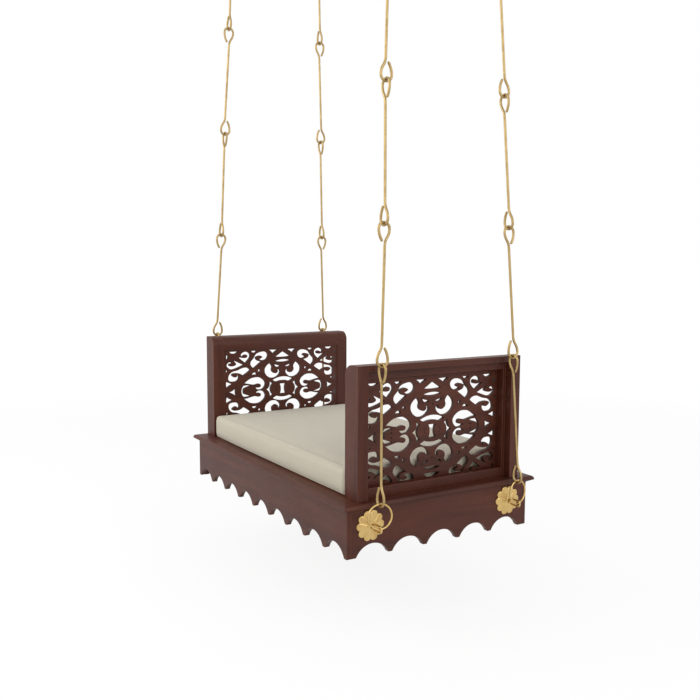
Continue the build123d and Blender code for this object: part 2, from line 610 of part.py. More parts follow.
link_solid = link()
ring_solid = ring()
for row, side in CORNERS:
    sx, sy = SIDES[side], ROWS[row]
    eye = Vector(sx * EYE_X, sy * EYE_Y, SEAT_Z + EYE_BAR)
    top = Vector(sx * HOOK_SPREAD_X / 2, sy * HOOK_SPREAD_Y / 2, CHAIN_TOP)
    up = (top - eye).normalized()
    # The ring lies across the end of the seat, a little turned about its chain.
    centre = eye + up * (RING_RADIUS - RING_WIRE - EYE_WIRE - RING_GAP)
    normal = across((1, 0, 0), up).rotate(Axis((0, 0, 0), up), sx * sy * RING_TWIST)
    keep(f"ring_{row}_{side}", Plane(origin=centre, x_dir=up, z_dir=normal) * ring_solid)
    for k in range(LINKS):
        foot = eye + up * (RING_SPAN + k * LINK_PITCH)
        # Odd links hook along the seat's length, even links across it.
        tip = (-1, 0, 0) if k % 2 == 0 else (0, -sy, 0)
        side_dir = across(tip, up)
        place = Plane(origin=foot, x_dir=side_dir, z_dir=side_dir.cross(up))
        keep(f"chain_link_{row}_{side}_{k + 1}", place * link_solid)


# ---------------------------------------------------------------- ceiling hooks
def ceiling_hook():
    """Open hook under a round plate with a threaded stud, on the stud's axis at the ceiling."""
    bent = wire_rod(hook_edges(HOOK_DROP), HOOK_WIRE)
    hook = Plane(origin=(0, 0, -HOOK_DROP), x_dir=(0, 1, 0), z_dir=(1, 0, 0)) * bent
    hook += rod(PLATE_RADIUS, (0, 0, -PLATE_THICK), (0, 0, 0))
    return hook + rod(STUD_RADIUS, (0, 0, -1), (0, 0, STUD_LENGTH))


hook_solid = ceiling_hook()
hooks = []
for row, side in CORNERS:
    turn = Rot(0, 0, 0 if row == "front" else 180)
    spot = Pos(SIDES[side] * HOOK_SPREAD_X / 2, ROWS[row] * HOOK_SPREAD_Y / 2, 0)
    hooks.append(spot * turn * hook_solid)
keep("ceiling_hooks", group(hooks))

# ---------------------------------------------------------------- cushion
cushion_x = PANEL_INNER - CUSHION_END_GAP
cushion = block(-cushion_x, cushion_x, -CUSHION_DEPTH / 2, CUSHION_DEPTH / 2,
                DECK_TOP + RUN_GAP, DECK_TOP + CUSHION_HEIGHT)
cushion = fillet(cushion.edges(), CUSHION_EDGE)
keep_on_seat("cushion", cushion)

# ---------------------------------------------------------------- files
for name, shape in nodes.items():
    export_step(shape, f"parts/{name}.step")

print("nodes", len(nodes))
print("seat z", round(SEAT_Z, 3), "chain top z", round(CHAIN_TOP, 3), "eye bar z", round(SEAT_Z + EYE_BAR, 3))
print("hook x y", HOOK_SPREAD_X / 2, HOOK_SPREAD_Y / 2, "eye x y", EYE_X, EYE_Y)
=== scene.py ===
# %% [markdown]
# # A jhoola: a carved swing seat on brass chains
# A jhoola is an indoor swing from South Asia: a low wooden seat with a pierced panel at each end,
# hung from the ceiling on brass rod links. The CAD model says where every board, rod and bolt is.
# This lesson adds what the eye looks for: soft edges, wood grain, the glow of brass and a cushion
# that bulges. Sizes are in metres. The origin is the middle of the ceiling plane, +Z points up,
# +X is the right-hand end of the seat and -Y is its front.

# %% Load the frame
import json
import math

import bmesh
import bpy
from mathutils import Matrix, Vector

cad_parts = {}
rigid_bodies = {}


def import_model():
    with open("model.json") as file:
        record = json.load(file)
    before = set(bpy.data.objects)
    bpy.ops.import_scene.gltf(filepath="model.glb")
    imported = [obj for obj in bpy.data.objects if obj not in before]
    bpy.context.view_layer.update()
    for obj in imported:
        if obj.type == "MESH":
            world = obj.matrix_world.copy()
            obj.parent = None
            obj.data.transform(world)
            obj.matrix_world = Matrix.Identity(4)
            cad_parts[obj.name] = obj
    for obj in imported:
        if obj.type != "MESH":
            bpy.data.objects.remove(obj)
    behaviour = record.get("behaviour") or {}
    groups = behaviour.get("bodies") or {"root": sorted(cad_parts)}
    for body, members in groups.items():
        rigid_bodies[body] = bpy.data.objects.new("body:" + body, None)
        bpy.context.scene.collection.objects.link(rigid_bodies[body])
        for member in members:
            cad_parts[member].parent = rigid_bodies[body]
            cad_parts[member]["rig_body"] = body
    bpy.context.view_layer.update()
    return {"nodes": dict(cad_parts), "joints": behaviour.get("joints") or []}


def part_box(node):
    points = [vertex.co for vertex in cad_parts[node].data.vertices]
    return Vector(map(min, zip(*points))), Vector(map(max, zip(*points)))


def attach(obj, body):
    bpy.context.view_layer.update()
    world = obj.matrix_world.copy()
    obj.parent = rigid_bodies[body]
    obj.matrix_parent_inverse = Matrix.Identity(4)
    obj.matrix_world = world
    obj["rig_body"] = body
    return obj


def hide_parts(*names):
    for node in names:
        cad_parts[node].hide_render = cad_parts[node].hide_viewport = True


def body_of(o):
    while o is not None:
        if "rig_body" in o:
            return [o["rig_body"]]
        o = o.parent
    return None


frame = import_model()

# %% [markdown]
# ## The camera
# The swing is looked at from beyond its right-hand end, a little above the panels. A camera can be
# placed by turning it step by step, or by saying where its three axes point. Three axes are
# exact and leave nothing to the order of the turns.


# %% Camera
def in_scene(name, data):
    """A new object that holds this data, linked to the scene."""
    thing = bpy.data.objects.new(name, data)
    bpy.context.scene.collection.objects.link(thing)
    return thing


VIEW_POINT = Vector((3.01678, -1.80306, -1.61755))
VIEW_AXES = (
    Vector((0.516778, 0.856113, 0.003334)),       # to the right in the picture
    Vector((-0.088625, 0.049622, 0.994828)),      # up in the picture
    Vector((0.851520, -0.514401, 0.101516)),      # back, away from the swing
)
FILM_WIDTH, FOCAL_LENGTH = 36, 43.07              # in millimetres, as on a real camera

lens = bpy.data.cameras.new("view")
lens.sensor_width = FILM_WIDTH
lens.lens = FOCAL_LENGTH
camera = in_scene("view", lens)
camera.matrix_world = Matrix.Translation(VIEW_POINT) @ Matrix(VIEW_AXES).transposed().to_4x4()
bpy.context.scene.camera = camera

# %% [markdown]
# ## Node sums written as Python
# A material or a geometry recipe is a chain of small sums. Wiring each sum by hand hides the
# thought behind it, so one small class wraps a socket and lets + - * / add the Math nodes, and
# one method makes any other node from its type, its settings and its sockets.


# %% Wires and benches
class Wire:
    """One output of a node. A sum with it adds a Math node."""

    def __init__(self, bench, socket):
        self.bench = bench
        self.socket = socket

    def maths(self, operation, *terms):
        return self.bench.node("ShaderNodeMath", {"operation": operation}, dict(enumerate(terms)))

    def __add__(self, other):
        return self.maths("ADD", self, other)

    def __sub__(self, other):
        return self.maths("SUBTRACT", self, other)

    def __rsub__(self, other):
        return self.maths("SUBTRACT", other, self)

    def __mul__(self, other):
        return self.maths("MULTIPLY", self, other)

    def __truediv__(self, other):
        return self.maths("DIVIDE", self, other)

    def __mod__(self, other):
        return self.maths("MODULO", self, other)

    __radd__ = __add__
    __rmul__ = __mul__

    def sine(self):
        return self.maths("SINE", self)

    def size(self):
        return self.maths("ABSOLUTE", self)

    def below(self, other):
        """1 where it is less than the other, 0 elsewhere."""
        return self.maths("LESS_THAN", self, other)

    def ease(self, low, high):
        """0 below low, 1 above high, smooth between."""
        return self.bench.node("ShaderNodeMapRange", {"interpolation_type": "SMOOTHSTEP"},
                               {"Value": self, "From Min": low, "From Max": high})


class Bench:
    """A node tree that is being wired."""

    def __init__(self, tree):
        self.tree = tree

    def node(self, kind, settings=None, sockets=None, output=0):
        made = self.tree.nodes.new(kind)
        for key, value in (settings or {}).items():
            if key == "stops":
                first, *between, last = value
                ends = made.color_ramp.elements
                ends[0].position, ends[0].color = first
                ends[1].position, ends[1].color = last
                for place, tint in between:
                    ends.new(place).color = tint
            else:
                setattr(made, key, value)
        for key, value in (sockets or {}).items():
            if isinstance(value, Wire):
                self.tree.links.new(value.socket, made.inputs[key])
            else:
                made.inputs[key].default_value = value
        return Wire(self, made.outputs[output]) if made.outputs else None

    def parts(self, vector):
        """The x, y and z of a vector."""
        apart = self.node("ShaderNodeSeparateXYZ", {}, {"Vector": vector})
        return [Wire(self, output) for output in apart.socket.node.outputs]


class Finish(Bench):
    """A material. Patterns follow Object coordinates, so they lie still on the swing."""

    def __init__(self, name):
        self.material = bpy.data.materials.new(name)
        self.material.use_nodes = True
        super().__init__(self.material.node_tree)
        self.tree.nodes.clear()

    def place(self, scale=(1, 1, 1), shift=(0, 0, 0)):
        """Where a point lies on the swing, stretched and shifted."""
        spot = self.node("ShaderNodeTexCoord", output="Object")
        return self.node("ShaderNodeMapping", {}, {"Vector": spot, "Scale": scale, "Location": shift})

    def noise(self, where, scale, detail=3.0, distortion=0.0):
        return self.node("ShaderNodeTexNoise", {}, {
            "Vector": where, "Scale": scale, "Detail": detail, "Distortion": distortion})

    def blend(self, share, first, second):
        """Mixes two colours; sockets 6 and 7 are the Mix node's two colours."""
        return self.node("ShaderNodeMix", {"data_type": "RGBA"}, {0: share, 6: first, 7: second},
                         output=2)

    def relief(self, height, depth):
        """Turns a height from 0 to 1 into a bump that is depth metres deep."""
        return self.node("ShaderNodeBump", {}, {"Height": height, "Distance": depth, "Strength": 1.0})

    def coat(self, sockets):
        shader = self.node("ShaderNodeBsdfPrincipled", {}, sockets)
        self.node("ShaderNodeOutputMaterial", {}, {"Surface": shader})
        return self.material


def screen(red, green, blue):
    """A screen colour from 0 to 255 as the linear colour that shaders work in."""
    parts = [value / 255 for value in (red, green, blue)]
    return (*[p / 12.92 if p <= 0.04045 else ((p + 0.055) / 1.055) ** 2.4 for p in parts], 1)


# %% [markdown]
# ## Polished wood
# The seat is a dark hardwood, stained red-brown and rubbed with polish. Wood could be drawn with
# rings cut from a log, but boards this dark show no more than streaks. So the streaks are noise,
# stretched along the board, with finer fibres and short dark pores over them. The stain sits
# deeper in some streaks than in others, and the polish is a thin coat. Each board direction gets
# its own material, because grain always runs along a board. Edges have a lighter variant: partly
# thinner stain where hands and cloths rub them, partly a painted highlight along the edges.

# %% Wood recipe
STREAKS, FIBRES, PORES = (1.3, 17.0), (9.0, 330.0), (38.0, 1150.0)    # a metre, along and across
STAIN = [(0.30, screen(63, 25, 13)), (0.50, screen(81, 37, 22)), (0.72, screen(97, 50, 33))]
# Dark stain in the pores, also used as painted shade in the gouge cuts.
PORE_STAIN_AND_CUT_SHADE = screen(36, 14, 8)
# Lighter edge colour: partly rubbed-through stain, partly a painted highlight along the edges.
RUBBED_AND_HIGHLIT_EDGE = screen(128, 82, 62)
PORE_DEPTH = 0.00018


def wood(name, along, edge=RUBBED_AND_HIGHLIT_EDGE, edge_share=0.0, carving=None):
    """Wood whose grain runs along an axis. The edge share mixes the edge colour over the stain."""
    bench = Finish(name)

    def grain(repeats, detail, distortion=0.0):
        scale = [repeats[0] if axis == along else repeats[1] for axis in "XYZ"]
        return bench.noise(bench.place(scale), 1.0, detail, distortion)

    streaks = grain(STREAKS, 4.0, 0.9)
    fibres = grain(FIBRES, 2.0, 0.3)
    pores = grain(PORES, 1.0).ease(0.62, 0.72)
    stain = bench.node("ShaderNodeValToRGB", {"stops": STAIN}, {0: streaks * 0.78 + fibres * 0.22})
    # The edge colour over the stain: wear and painted highlight on board edges, painted shade on the jaali's
    # walls.
    edge_tinted = bench.blend(edge_share, stain, edge)
    rubbed = bench.noise(bench.place(), 7.0, 2.0)
    cuts = carving(bench) if carving else 0.0
    return bench.coat({
        # Pores take the dark stain; gouge cuts take the same colour as painted shade.
        "Base Color": bench.blend(pores * 0.45 + cuts * 0.7, edge_tinted, PORE_STAIN_AND_CUT_SHADE),
        "Roughness": 0.42 + rubbed * 0.16 + pores * 0.2,
        "Specular IOR Level": 0.27,
        "Normal": bench.relief(fibres * 0.5 - pores - cuts * 9, PORE_DEPTH),
        "Coat Weight": 0.09, "Coat Roughness": 0.22,
    })


WOOD = {axis: wood(f"polished_wood_{axis.lower()}", axis) for axis in "XYZ"}
# Edge variants: lighter wood on the bevel faces, partly wear and partly a painted highlight.
WORN_AND_HIGHLIT = {axis: wood(f"worn_edge_{axis.lower()}", axis, edge_share=0.5) for axis in "XYZ"}
print("wood finishes:", [m.name for m in (*WOOD.values(), *WORN_AND_HIGHLIT.values())])

# %% [markdown]
# ## Brass and steel
# The rods, rings and rosettes are solid brass with a satin polish. Brass could be one shiny
# yellow, but real brass dulls in cloudy patches, which are browner and rougher, and it keeps fine
# lines from the polishing wheel. The rods of the chains are drawn wire and a little rougher; their
# brass is a darker copy, which is painted shade. The nuts under the seat are plain zinc-plated steel.

# %% Metal recipes
CLOUDS = 26.0                   # dull patches a metre
WHEEL_LINES = (900, 900, 60)    # polishing lines a metre, long in the upright direction


def metal(name, bright, dull, smooth, rough, lines):
    """Metal with dull patches. Smooth and rough are roughnesses, lines is a depth in metres."""
    bench = Finish(name)
    clouds = bench.noise(bench.place(), CLOUDS, 4.0).ease(0.38, 0.72)
    scratches = bench.noise(bench.place(WHEEL_LINES), 1.0, 2.0)
    return bench.coat({
        "Base Color": bench.blend(clouds * 0.55, bright, dull),
        "Metallic": 1.0,
        "Roughness": clouds * (rough - smooth) + smooth,
        "Normal": bench.relief(scratches, lines),
    })


BRASS = metal("satin_brass", screen(209, 178, 117), screen(182, 146, 88),
              smooth=0.28, rough=0.42, lines=0.00001)
# The chain rods' brass is a darker copy of the satin brass: painted shade.
SHADED_BRASS = metal("drawn_brass", screen(183, 158, 109), screen(156, 129, 85),
              smooth=0.34, rough=0.46, lines=0.000008)
STEEL = metal("zinc_plate", screen(190, 192, 194), screen(140, 142, 146),
              smooth=0.32, rough=0.5, lines=0.00002)
print("metals:", BRASS.name, SHADED_BRASS.name, STEEL.name)

# %% [markdown]
# ## Cushion cloth
# The cushion cover is undyed cotton canvas. A weave could be an image, but threads are so regular
# that sines draw them: one set of threads goes over where the other goes under. The weave has to
# lie flat on the top and on the sides alike, so it is worked out on three planes and each place
# takes the plane it faces. Two seams run round the sides, where top and bottom meet the border.

# %% Canvas recipe
THREAD = 0.0011                 # distance between two threads
SLUB, ACROSS = 8, 420           # thick places a metre, along a thread and across it
TURNING = (0.62, 0.78)          # how squarely a face has to look up, or endwise, to count as such
PAD_LOW, PAD_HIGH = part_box("cushion")
PAD_MIDDLE = (PAD_LOW + PAD_HIGH) / 2
SEAM_RISE = 0.043               # from the middle of the side up or down to a seam
SEAM_EDGE = (0.0012, 0.0032)    # its dent is full within the first distance, gone past the second
LIGHT_COTTON, COTTON = screen(226, 219, 200), screen(213, 206, 186)
# The hollows between threads take a darker colour, which is painted shade.
SOILED_COTTON, WEAVE_HOLLOW_SHADE = screen(207, 197, 173), screen(150, 140, 116)


def canvas(name):
    bench = Finish(name)
    x, y, z = bench.parts(bench.place())
    facing = bench.parts(bench.node("ShaderNodeTexCoord", output="Normal"))
    end, up = [facing[axis].size().ease(*TURNING) for axis in (0, 2)]

    def weave(a, b):
        return (a * (math.pi / THREAD)).sine() * (b * (math.pi / THREAD)).sine() * 0.5 + 0.5

    seam = 1 - ((z - PAD_MIDDLE.z).size() - SEAM_RISE).size().ease(*SEAM_EDGE)
    side = weave(x, z) * (1 - end) + weave(y, z) * end
    threads = weave(x, y) * up + side * (1 - up)
    slubs = (bench.noise(bench.place((SLUB, ACROSS, ACROSS)), 1.0, 2.0)
             + bench.noise(bench.place((ACROSS, SLUB, ACROSS)), 1.0, 2.0))
    soil = bench.noise(bench.place(), 5.0, 3.0)
    tint = bench.blend((slubs - 0.6).ease(0.1, 0.9), COTTON, LIGHT_COTTON)
    tint = bench.blend(soil * 0.25, tint, SOILED_COTTON)
    return bench.coat({
        # Darker where threads dip under each other: painted shade in the weave.
        "Base Color": bench.blend((1 - threads) * 0.22, tint, WEAVE_HOLLOW_SHADE),
        "Roughness": 0.9 - threads * 0.08,
        "Normal": bench.relief(threads * 0.7 + slubs * 0.3 - seam, 0.0004),
        "Sheen Weight": 0.25, "Sheen Roughness": 0.5,
    })


CANVAS = canvas("cotton_canvas")
print("cloth:", CANVAS.name)

# %% [markdown]
# ## Boards with soft edges
# The apron boards, the moulded ledge and the end panels are sawn, planed and then sanded, so no
# edge is razor sharp. The CAD edges are. A new model of each board would only risk its fit, so a
# copy of the CAD mesh is joined up, its flat triangles are merged into whole faces, and a Bevel
# modifier rounds the edges by a millimetre. The bevel's faces take the lighter edge variant of the
# wood, which is partly wear and partly a painted highlight.

# %% Helper for a sanded board
SAME_POINT = 1e-5                   # corners that lie this close are one
FLAT_WITHIN = math.radians(0.5)     # triangles that turn by less are one face
SHARP_EDGE = math.radians(35)       # edges that turn by more are eased


def add_piece(name, mesh, body, slot, *nodes):
    """Links a finished mesh as a piece that rides on a body and stands for CAD nodes."""
    piece = in_scene(name, mesh)
    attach(piece, body)
    if nodes:
        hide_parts(*nodes)
    return piece


def joined_copy(node):
    """The CAD mesh of a node as a closed bmesh of whole faces."""
    work = bmesh.new()
    work.from_mesh(frame["nodes"][node].data)
    bmesh.ops.remove_doubles(work, verts=work.verts, dist=SAME_POINT)
    bmesh.ops.dissolve_limit(work, angle_limit=FLAT_WITHIN, verts=work.verts, edges=work.edges)
    return work


def plain_mesh(name, work, materials):
    """Writes a bmesh to a new mesh with smooth shading."""
    work.verts.index_update()
    mesh = bpy.data.meshes.new(name)
    mesh.from_pydata([v.co.copy() for v in work.verts], [],
                     [[v.index for v in face.verts] for face in work.faces])
    work.free()
    mesh.shade_smooth()
    for material in materials:
        mesh.materials.append(material)
    return mesh


def sanded(node, finish, edge, slot="polished_wood", width=0.0012, segments=2):
    """A copy of a CAD node with its edges eased; the eased edges take their own finish."""
    body = body_of(frame["nodes"][node])[0]
    mesh = plain_mesh(f"{node}_eased", joined_copy(node), [finish, edge])
    piece = add_piece(mesh.name, mesh, body, slot, node)
    bevel = piece.modifiers.new("eased edges", "BEVEL")
    bevel.width = width
    bevel.segments = segments
    bevel.limit_method = "ANGLE"
    bevel.angle_limit = SHARP_EDGE
    bevel.harden_normals = True
    bevel.material = 1
    return piece


# %% Sand every board along its own grain
GRAIN = {
    "X": ["apron_front", "apron_rear", "ledge_front", "ledge_rear", "deck_panel"],
    "Y": ["apron_left", "apron_right", "ledge_left", "ledge_right", "end_bearer_left",
          "end_bearer_right", "middle_bearers", "top_rail_left", "top_rail_right",
          "bottom_rail_left", "bottom_rail_right"],
    "Z": ["post_front_left", "post_front_right", "post_rear_left", "post_rear_right",
          "corner_blocks"],
}
for axis, nodes in GRAIN.items():
    for node in nodes:
        sanded(node, WOOD[axis], WORN_AND_HIGHLIT[axis])
    print("grain along", axis, "on", len(nodes), "pieces")

# %% [markdown]
# ## Pierced panels
# Each end holds a jaali, a board sawn through with scrolls by fretsaw. Its edges are eased with a
# file, but less than those of the frame. A few short gouge cuts give the leaves their veins. They
# could be cut into the mesh, but they are only a millimetre deep, so a bump draws them, and painted
# shade darkens them: each cut is what is left of a circle when a second circle is taken away. The
# pattern is the same in all four quarters, so it is drawn in one and folded over. The walls of the
# openings and the eased edges are darker, and that darkness is painted shade.

# %% Gouge cuts
low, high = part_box("jaali_right")
PANEL_MIDDLE = (low.z + high.z) / 2
GOUGE_EDGE = 0.001          # width of the slope at the edge of a cut
GOUGES = [                  # centre (y, z), radius, centre of the circle taken away
    ((0.0260, 0.000), 0.0120, (0.0225, 0.0000)),
    ((0.0230, 0.083), 0.0090, (0.0230, 0.0860)),
    ((0.0420, 0.117), 0.0085, (0.0395, 0.1150)),
    ((0.1580, 0.021), 0.0090, (0.1580, 0.0180)),
    ((0.1960, 0.030), 0.0080, (0.1940, 0.0275)),
]


def gouges(bench):
    """1 inside a gouge cut, 0 elsewhere, the same in all four quarters of the panel."""
    spot = bench.node("ShaderNodeVectorMath", {"operation": "ABSOLUTE"},
                      {0: bench.place(shift=(0, 0, -PANEL_MIDDLE))})
    flat = bench.node("ShaderNodeVectorMath", {"operation": "MULTIPLY"}, {0: spot, 1: (0, 1, 1)})
    cuts = 0.0
    for centre, radius, taken in GOUGES:
        inside, outside = [bench.node("ShaderNodeVectorMath", {"operation": "DISTANCE"},
                                      {0: flat, 1: (0, *place)}, output=1) for place in (centre, taken)]
        cut = (1 - inside.ease(radius - GOUGE_EDGE, radius)) * outside.ease(
            radius - GOUGE_EDGE / 2, radius + GOUGE_EDGE)
        cuts = cut + cuts
    return cuts


# The carved wood darkens its gouge cuts as painted shade, over their bump.
CARVED = wood("carved_wood", "Y", carving=gouges)
# Walls of the openings and the jaali's eased edges: a very dark edge colour as painted shade.
SHADED_WALLS = wood("sawn_wood", "Y", screen(30, 11, 7), edge_share=0.5)
print("a panel has", 4 * len(GOUGES), "gouge cuts or fewer, as some lie on a fold")

# %% Jaali boards
for side in ("left", "right"):
    board = sanded(f"jaali_{side}", CARVED, SHADED_WALLS, width=0.0009, segments=1)
    # Faces that do not face along X, the walls of the openings, take the painted shade.
    for face in board.data.polygons:
        face.material_index = int(abs(face.normal.x) < 0.5)
    print(board.name, "has", len(board.data.polygons), "faces before its edges are eased")

# %% [markdown]
# ## Recipes that repeat
# Each chain has five equal links, each rosette ten equal petals, and each end of the seat the same
# brass. Copies could be placed one by one in a loop. Geometry Nodes say the rule instead: a tree
# with named inputs grows the whole row from one part, and changing an input changes every copy.
# The result is taken as a plain mesh, because a finished piece keeps no rule on it.


# %% Geometry recipes
class Recipe(Bench):
    """A Geometry Nodes tree with named inputs, which ends in plain geometry with a material."""

    KINDS = {float: "NodeSocketFloat", int: "NodeSocketInt", type(None): "NodeSocketMaterial"}

    def __init__(self, name, **inputs):
        super().__init__(bpy.data.node_groups.new(name, "GeometryNodeTree"))
        face = self.tree.interface
        face.new_socket("Part", in_out="INPUT", socket_type="NodeSocketGeometry")
        self.ids = {}
        for label, value in {**inputs, "finish": None}.items():
            socket = face.new_socket(label, in_out="INPUT", socket_type=self.KINDS[type(value)])
            if value is not None:
                socket.default_value = value
            self.ids[label] = socket.identifier
        face.new_socket("Result", in_out="OUTPUT", socket_type="NodeSocketGeometry")
        self.source = self.tree.nodes.new("NodeGroupInput")

    def given(self, label):
        return Wire(self, self.source.outputs[label])

    def turned(self, x=0.0, y=0.0, z=0.0):
        """A rotation from three angles."""
        angles = self.node("ShaderNodeCombineXYZ", {}, {"X": x, "Y": y, "Z": z})
        return self.node("FunctionNodeEulerToRotation", {}, {0: angles})

    def copies(self, points, part, rotation):
        return self.node("GeometryNodeInstanceOnPoints", {},
                         {"Points": points, "Instance": part, "Rotation": rotation})

    def joined(self, *parts):
        both = self.node("GeometryNodeJoinGeometry")
        for part in parts:
            self.tree.links.new(part.socket, both.socket.node.inputs[0])
        return both

    def close(self, result):
        real = self.node("GeometryNodeRealizeInstances", {}, {"Geometry": result})
        smooth = self.node("GeometryNodeSetShadeSmooth", {}, {"Geometry": real})
        dressed = self.node("GeometryNodeSetMaterial", {},
                            {"Geometry": smooth, "Material": self.given("finish")})
        self.tree.links.new(dressed.socket, self.tree.nodes.new("NodeGroupOutput").inputs[0])
        return self


def grown(name, part, recipe, **values):
    """Runs a recipe on one part and gives the result as a plain mesh."""
    host = in_scene(name, part)
    rule = host.modifiers.new("rule", "NODES")
    rule.node_group = recipe.tree
    for label, value in values.items():
        rule[recipe.ids[label]] = value
    bpy.context.view_layer.update()
    mesh = bpy.data.meshes.new_from_object(host.evaluated_get(bpy.context.evaluated_depsgraph_get()))
    bpy.data.objects.remove(host)
    mesh.materials.clear()
    mesh.materials.append(values["finish"])
    mesh.name = name
    return mesh


# %% [markdown]
# ## Rod-link chains
# A link is a straight brass rod whose two ends are bent into open hooks, and each tip leans back
# towards the rod. It could be a stretched ring, but then the line of the bend would be lost. So
# the path of the rod is drawn with arcs, a recipe gives it its round section and round tips, and
# five links are set in a row, each a quarter turn from the last, as hooks need to hang. Rods that
# are bent by hand don't run quite along the line of pull, so each leans a few millimetres across.

# %% Path of one link
HOOK_BEND = 0.021       # radius of a hook's bend
HOOK_NECK = 0.078       # from the end of a link to where the rod is straight
TIP_BEND = 0.070        # radius of the slow bend of a tip
TIP_HEIGHT = 0.060      # from the end of a link to the end of the tip
ROD_ASIDE = 0.003       # how far a rod's end stands off the line of pull, away from the tip
TIP_STEPS, BEND_STEPS, NECK_STEPS = 7, 20, 6
LINK_REACH = 0.477      # between the outermost points of a link's two hooks
LINK_PITCH = 0.4672     # from link to link
FIRST_LINK = 0.0693     # from the eye to the foot of the first link, across the ring


def arc(centre, radius, start, turn, steps):
    """Points of an arc, with angles in degrees."""
    angles = [math.radians(start + turn * step / steps) for step in range(steps + 1)]
    return [(centre[0] + radius * math.cos(a), centre[1] + radius * math.sin(a)) for a in angles]


def lower_hook():
    """From the tip of a hook round its bend and up to the straight rod."""
    tip = math.degrees(math.asin((TIP_HEIGHT - HOOK_BEND) / TIP_BEND))
    rise = HOOK_NECK - HOOK_BEND
    lean = 2 * math.degrees(math.atan((HOOK_BEND - ROD_ASIDE) / rise))
    flare = rise / (2 * math.sin(math.radians(lean)))
    return [*arc((HOOK_BEND - TIP_BEND, HOOK_BEND), TIP_BEND, tip, -tip, TIP_STEPS)[:-1],
            *arc((0, HOOK_BEND), HOOK_BEND, 0, -180, BEND_STEPS),
            *arc((flare - HOOK_BEND, HOOK_BEND), flare, 180, -lean, NECK_STEPS)[1:],
            *arc((-ROD_ASIDE - flare, HOOK_NECK), flare, -lean, lean, NECK_STEPS)[1:]]


hook = lower_hook()
rod_line = hook + [(-x, LINK_REACH - z) for x, z in reversed(hook)]
link_path = bpy.data.meshes.new("link_path")
link_path.from_pydata([(x, 0, z) for x, z in rod_line],
                      [(i, i + 1) for i in range(len(rod_line) - 1)], [])
print("a link's rod is", round(sum(math.dist(a, b) for a, b in zip(rod_line, rod_line[1:])), 3), "m long")

# %% Recipe for a chain
chain = Recipe("rod_link_chain", wire=0.00475, sides=20, rings=10, links=5, pitch=LINK_PITCH,
               quarter=math.pi / 2)
line = chain.node("GeometryNodeMeshToCurve", {}, {"Mesh": chain.given("Part")})
section = chain.node("GeometryNodeCurvePrimitiveCircle", {},
                     {"Resolution": chain.given("sides"), "Radius": chain.given("wire")})
rod = chain.node("GeometryNodeCurveToMesh", {}, {"Curve": line, "Profile Curve": section, "Fill Caps": True})
tips = chain.node("GeometryNodeCurveEndpointSelection", {}, {"Start Size": 1, "End Size": 1})
ball = chain.node("GeometryNodeMeshUVSphere", {}, {
    "Segments": chain.given("sides"), "Rings": chain.given("rings"), "Radius": chain.given("wire")})
balls = chain.node("GeometryNodeInstanceOnPoints", {}, {
    "Points": line, "Selection": tips, "Instance": ball})
link = chain.joined(rod, balls)
step = chain.node("ShaderNodeCombineXYZ", {}, {"Z": chain.given("pitch")})
feet = chain.node("GeometryNodeMeshLine", {}, {"Count": chain.given("links"), "Offset": step})
odd = chain.node("GeometryNodeInputIndex") % 2
chain.close(chain.copies(feet, link, chain.turned(z=odd * chain.given("quarter"))))
print("chain recipe has", len(chain.tree.nodes), "nodes")

# %% Hang the four chains
joints = {joint["name"]: joint for joint in frame["joints"]}
CORNERS = [(row, side) for row in ("front", "rear") for side in ("left", "right")]
for row, side in CORNERS:
    eye = Vector(joints[f"ring_swivel_{row}_{side}"]["pos_m"])
    top = Vector(joints[f"sway_{row}_{side}"]["pos_m"])
    up = (top - eye).normalized()
    inward = Vector((-1, 0, 0))
    inward = (inward - up * inward.dot(up)).normalized()
    quarter = math.pi / 2 if row == "rear" else -math.pi / 2
    mesh = grown(f"rod_links_{row}_{side}", link_path, chain, quarter=quarter, finish=SHADED_BRASS)
    axes = Matrix((inward, up.cross(inward), up)).transposed().to_4x4()
    mesh.transform(Matrix.Translation(eye + up * FIRST_LINK) @ axes)
    add_piece(mesh.name, mesh, f"chain_{row}_{side}", "brass",
              *[f"chain_link_{row}_{side}_{number}" for number in range(1, 6)])
print("each chain has", len(mesh.polygons), "faces")

# %% [markdown]
# ## Rosettes
# Behind each eye sits a pressed brass flower with ten domed petals and a collar that takes the
# bolt. It could be carved out of a disc, but a flower is the same petal ten times. So one wedge
# of it is drawn as a grid of heights: the collar, the dome, a vein along the middle, a crease
# towards each neighbour and a rounded rim. The recipe turns ten wedges into a flower, welds them
# and puts a flower at each corner of the seat.

# %% One wedge of a rosette
PETALS = 10
PETAL_CENTRE, PETAL_ROUND = 0.041, 0.015        # centre and radius of a petal's round end
CROWN, RIM = 0.012, 0.004                       # height of the dome in the middle and at the rim
DOME = ((PETAL_CENTRE + PETAL_ROUND) ** 2 + (CROWN - RIM) ** 2) / (2 * (CROWN - RIM))    # its radius
SHEET_START = 0.0130                            # the pressed sheet starts here, under the collar
CREASE_DEPTH, CREASE_WIDTH = 0.0017, 0.0022     # of the groove between two petals
CREASE_START, CREASE_FULL = 0.014, 0.024        # the groove sets in between these distances
VEIN_DEPTH, VEIN_WIDTH = 0.0006, 0.0011         # of the line along a petal
VEIN_MIDDLE, VEIN_SPREAD = 0.034, 0.011         # where the line is deepest, and how far it runs
SHOULDER_DROP, SHOULDER_WIDTH = 0.0022, 0.004   # of the rounded rim
COLLAR = [(0.0055, 0.0142), (0.0061, 0.0150), (0.0098, 0.0150), (0.0108, 0.0146), (0.0111, 0.0136),
          (0.0113, 0.0124)]                     # distance from the middle, and height
COLUMNS, ROWS = 12, 22                          # faces across and along a wedge


def bell(distance, width):
    """1 at no distance, and it falls off over the width on both sides."""
    return math.exp(-(distance / width) ** 2)


